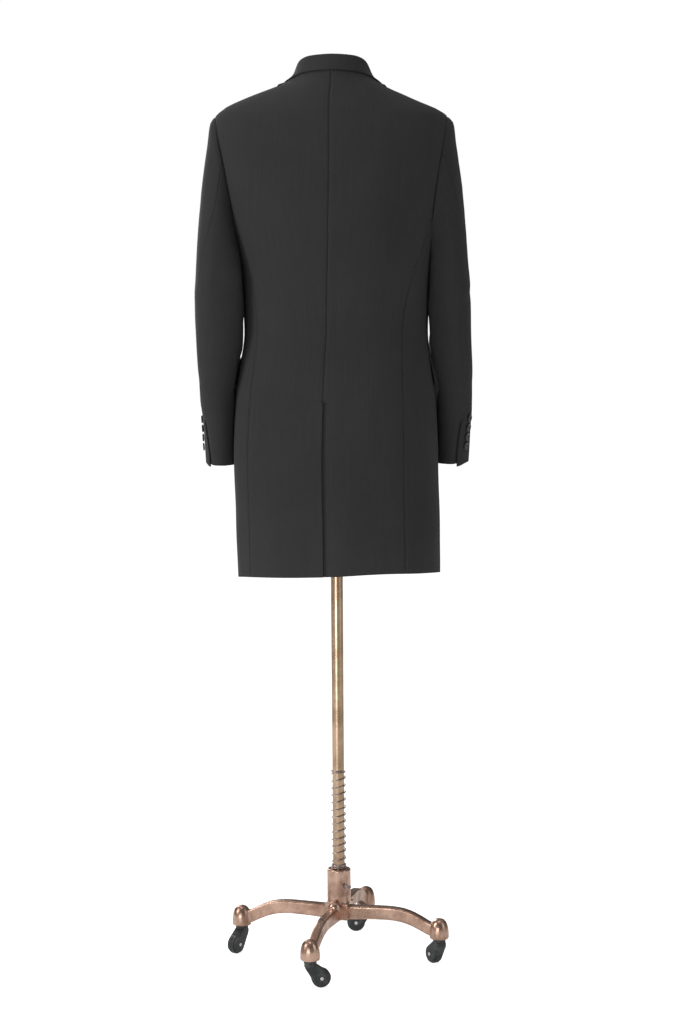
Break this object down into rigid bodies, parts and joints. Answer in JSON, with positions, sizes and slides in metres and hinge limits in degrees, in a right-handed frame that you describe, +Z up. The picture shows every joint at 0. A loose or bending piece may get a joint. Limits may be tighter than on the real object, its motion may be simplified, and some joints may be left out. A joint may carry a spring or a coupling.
{
  "type": "knee-length overcoat on a wheeled dress form",
  "caption": "Tailored black wool overcoat with notched lapels, centre vent, two-piece sleeves and pocket flaps, worn by a limbless dress form on a metal stand with casters.",
  "frame": {"origin": "on the floor under the pole's axis, at the middle of the object's outline", "axes": "+Z up, -Y towards the coat's front, +X towards the wearer's left"},
  "size_m": [0.5234, 0.4148, 1.707],
  "materials": {
    "black_wool": "matt, finely napped",
    "horn_button": "polished",
    "form_cover": "plain woven cover",
    "copper_casting": "satin copper colour",
    "brass_pole": "polished",
    "spring_steel": "bright drawn wire",
    "caster_plastic": "dark grey, lightly worn",
    "axle_white": "white cap"
  },
  "bodies": {
    "base": {"hub": "copper_casting", "spring": "spring_steel", "leg_left": "copper_casting", "leg_back": "copper_casting", "leg_right": "copper_casting", "leg_front": "copper_casting"},
    "lock_screw": {"lock_screw": "spring_steel"},
    "pole": {"pole": "brass_pole"},
    "caster_left": {"caster_hood_left": "caster_plastic", "caster_axle_left": "axle_white"},
    "wheel_left": {"caster_wheel_left": "caster_plastic"},
    "caster_back": {"caster_hood_back": "caster_plastic", "caster_axle_back": "axle_white"},
    "wheel_back": {"caster_wheel_back": "caster_plastic"},
    "caster_right": {"caster_hood_right": "caster_plastic", "caster_axle_right": "axle_white"},
    "wheel_right": {"caster_wheel_right": "caster_plastic"},
    "caster_front": {"caster_hood_front": "caster_plastic", "caster_axle_front": "axle_white"},
    "wheel_front": {"caster_wheel_front": "caster_plastic"},
    "dressed_form": {"back_left": "black_wool", "back_right": "black_wool", "collar": "black_wool", "cuff_button_left_1": "horn_button", "cuff_button_left_2": "horn_button", "cuff_button_left_3": "horn_button", "cuff_button_left_4": "horn_button", "cuff_button_right_1": "horn_button", "cuff_button_right_2": "horn_button", "cuff_button_right_3": "horn_button", "cuff_button_right_4": "horn_button", "dress_form": "form_cover", "flap_left": "black_wool", "flap_right": "black_wool", "front_button_1": "horn_button", "front_button_2": "horn_button", "front_button_3": "horn_button", "front_left": "black_wool", "front_right": "black_wool", "lapel_left": "black_wool", "lapel_right": "black_wool", "side_left": "black_wool", "side_right": "black_wool", "top_sleeve_left": "black_wool", "top_sleeve_right": "black_wool", "under_sleeve_left": "black_wool", "under_sleeve_right": "black_wool"}
  },
  "joints": [
    {"name": "pole_height", "type": "slide", "parent": "base", "child": "pole", "axis": [0, 0, 1], "range_m": [-0.06, 0.06]},
    {"name": "form_turn", "type": "hinge", "parent": "pole", "child": "dressed_form", "pos_m": [0, 0, 0.88], "axis": [0, 0, 1], "continuous": true},
    {"name": "lock_screw_turn", "type": "hinge", "parent": "base", "child": "lock_screw", "pos_m": [0, 0, 0.145], "axis": [-0.5299, 0.848, 0], "continuous": true},
    {"name": "caster_left_swivel", "type": "hinge", "parent": "base", "child": "caster_left", "pos_m": [0.1896, -0.05347, 0.05], "axis": [0, 0, 1], "continuous": true},
    {"name": "wheel_left_roll", "type": "hinge", "parent": "caster_left", "child": "wheel_left", "pos_m": [0.20061, -0.03678, 0.018], "axis": [-0.8348, 0.5505, 0], "continuous": true},
    {"name": "caster_back_swivel", "type": "hinge", "parent": "base", "child": "caster_back", "pos_m": [0.05347, 0.1896, 0.05], "axis": [0, 0, 1], "continuous": true},
    {"name": "wheel_back_roll", "type": "hinge", "parent": "caster_back", "child": "wheel_back", "pos_m": [0.03388, 0.18562, 0.018], "axis": [0.1994, -0.9799, 0], "continuous": true},
    {"name": "caster_right_swivel", "type": "hinge", "parent": "base", "child": "caster_right", "pos_m": [-0.1896, 0.05347, 0.05], "axis": [0, 0, 1], "continuous": true},
    {"name": "wheel_right_roll", "type": "hinge", "parent": "caster_right", "child": "wheel_right", "pos_m": [-0.18009, 0.03588, 0.018], "axis": [0.8796, 0.4756, 0], "continuous": true},
    {"name": "caster_front_swivel", "type": "hinge", "parent": "base", "child": "caster_front", "pos_m": [-0.05347, -0.1896, 0.05], "axis": [0, 0, 1], "continuous": true},
    {"name": "wheel_front_roll", "type": "hinge", "parent": "caster_front", "child": "wheel_front", "pos_m": [-0.03347, -0.1896, 0.018], "axis": [0, 1, 0], "continuous": true}
  ]
}
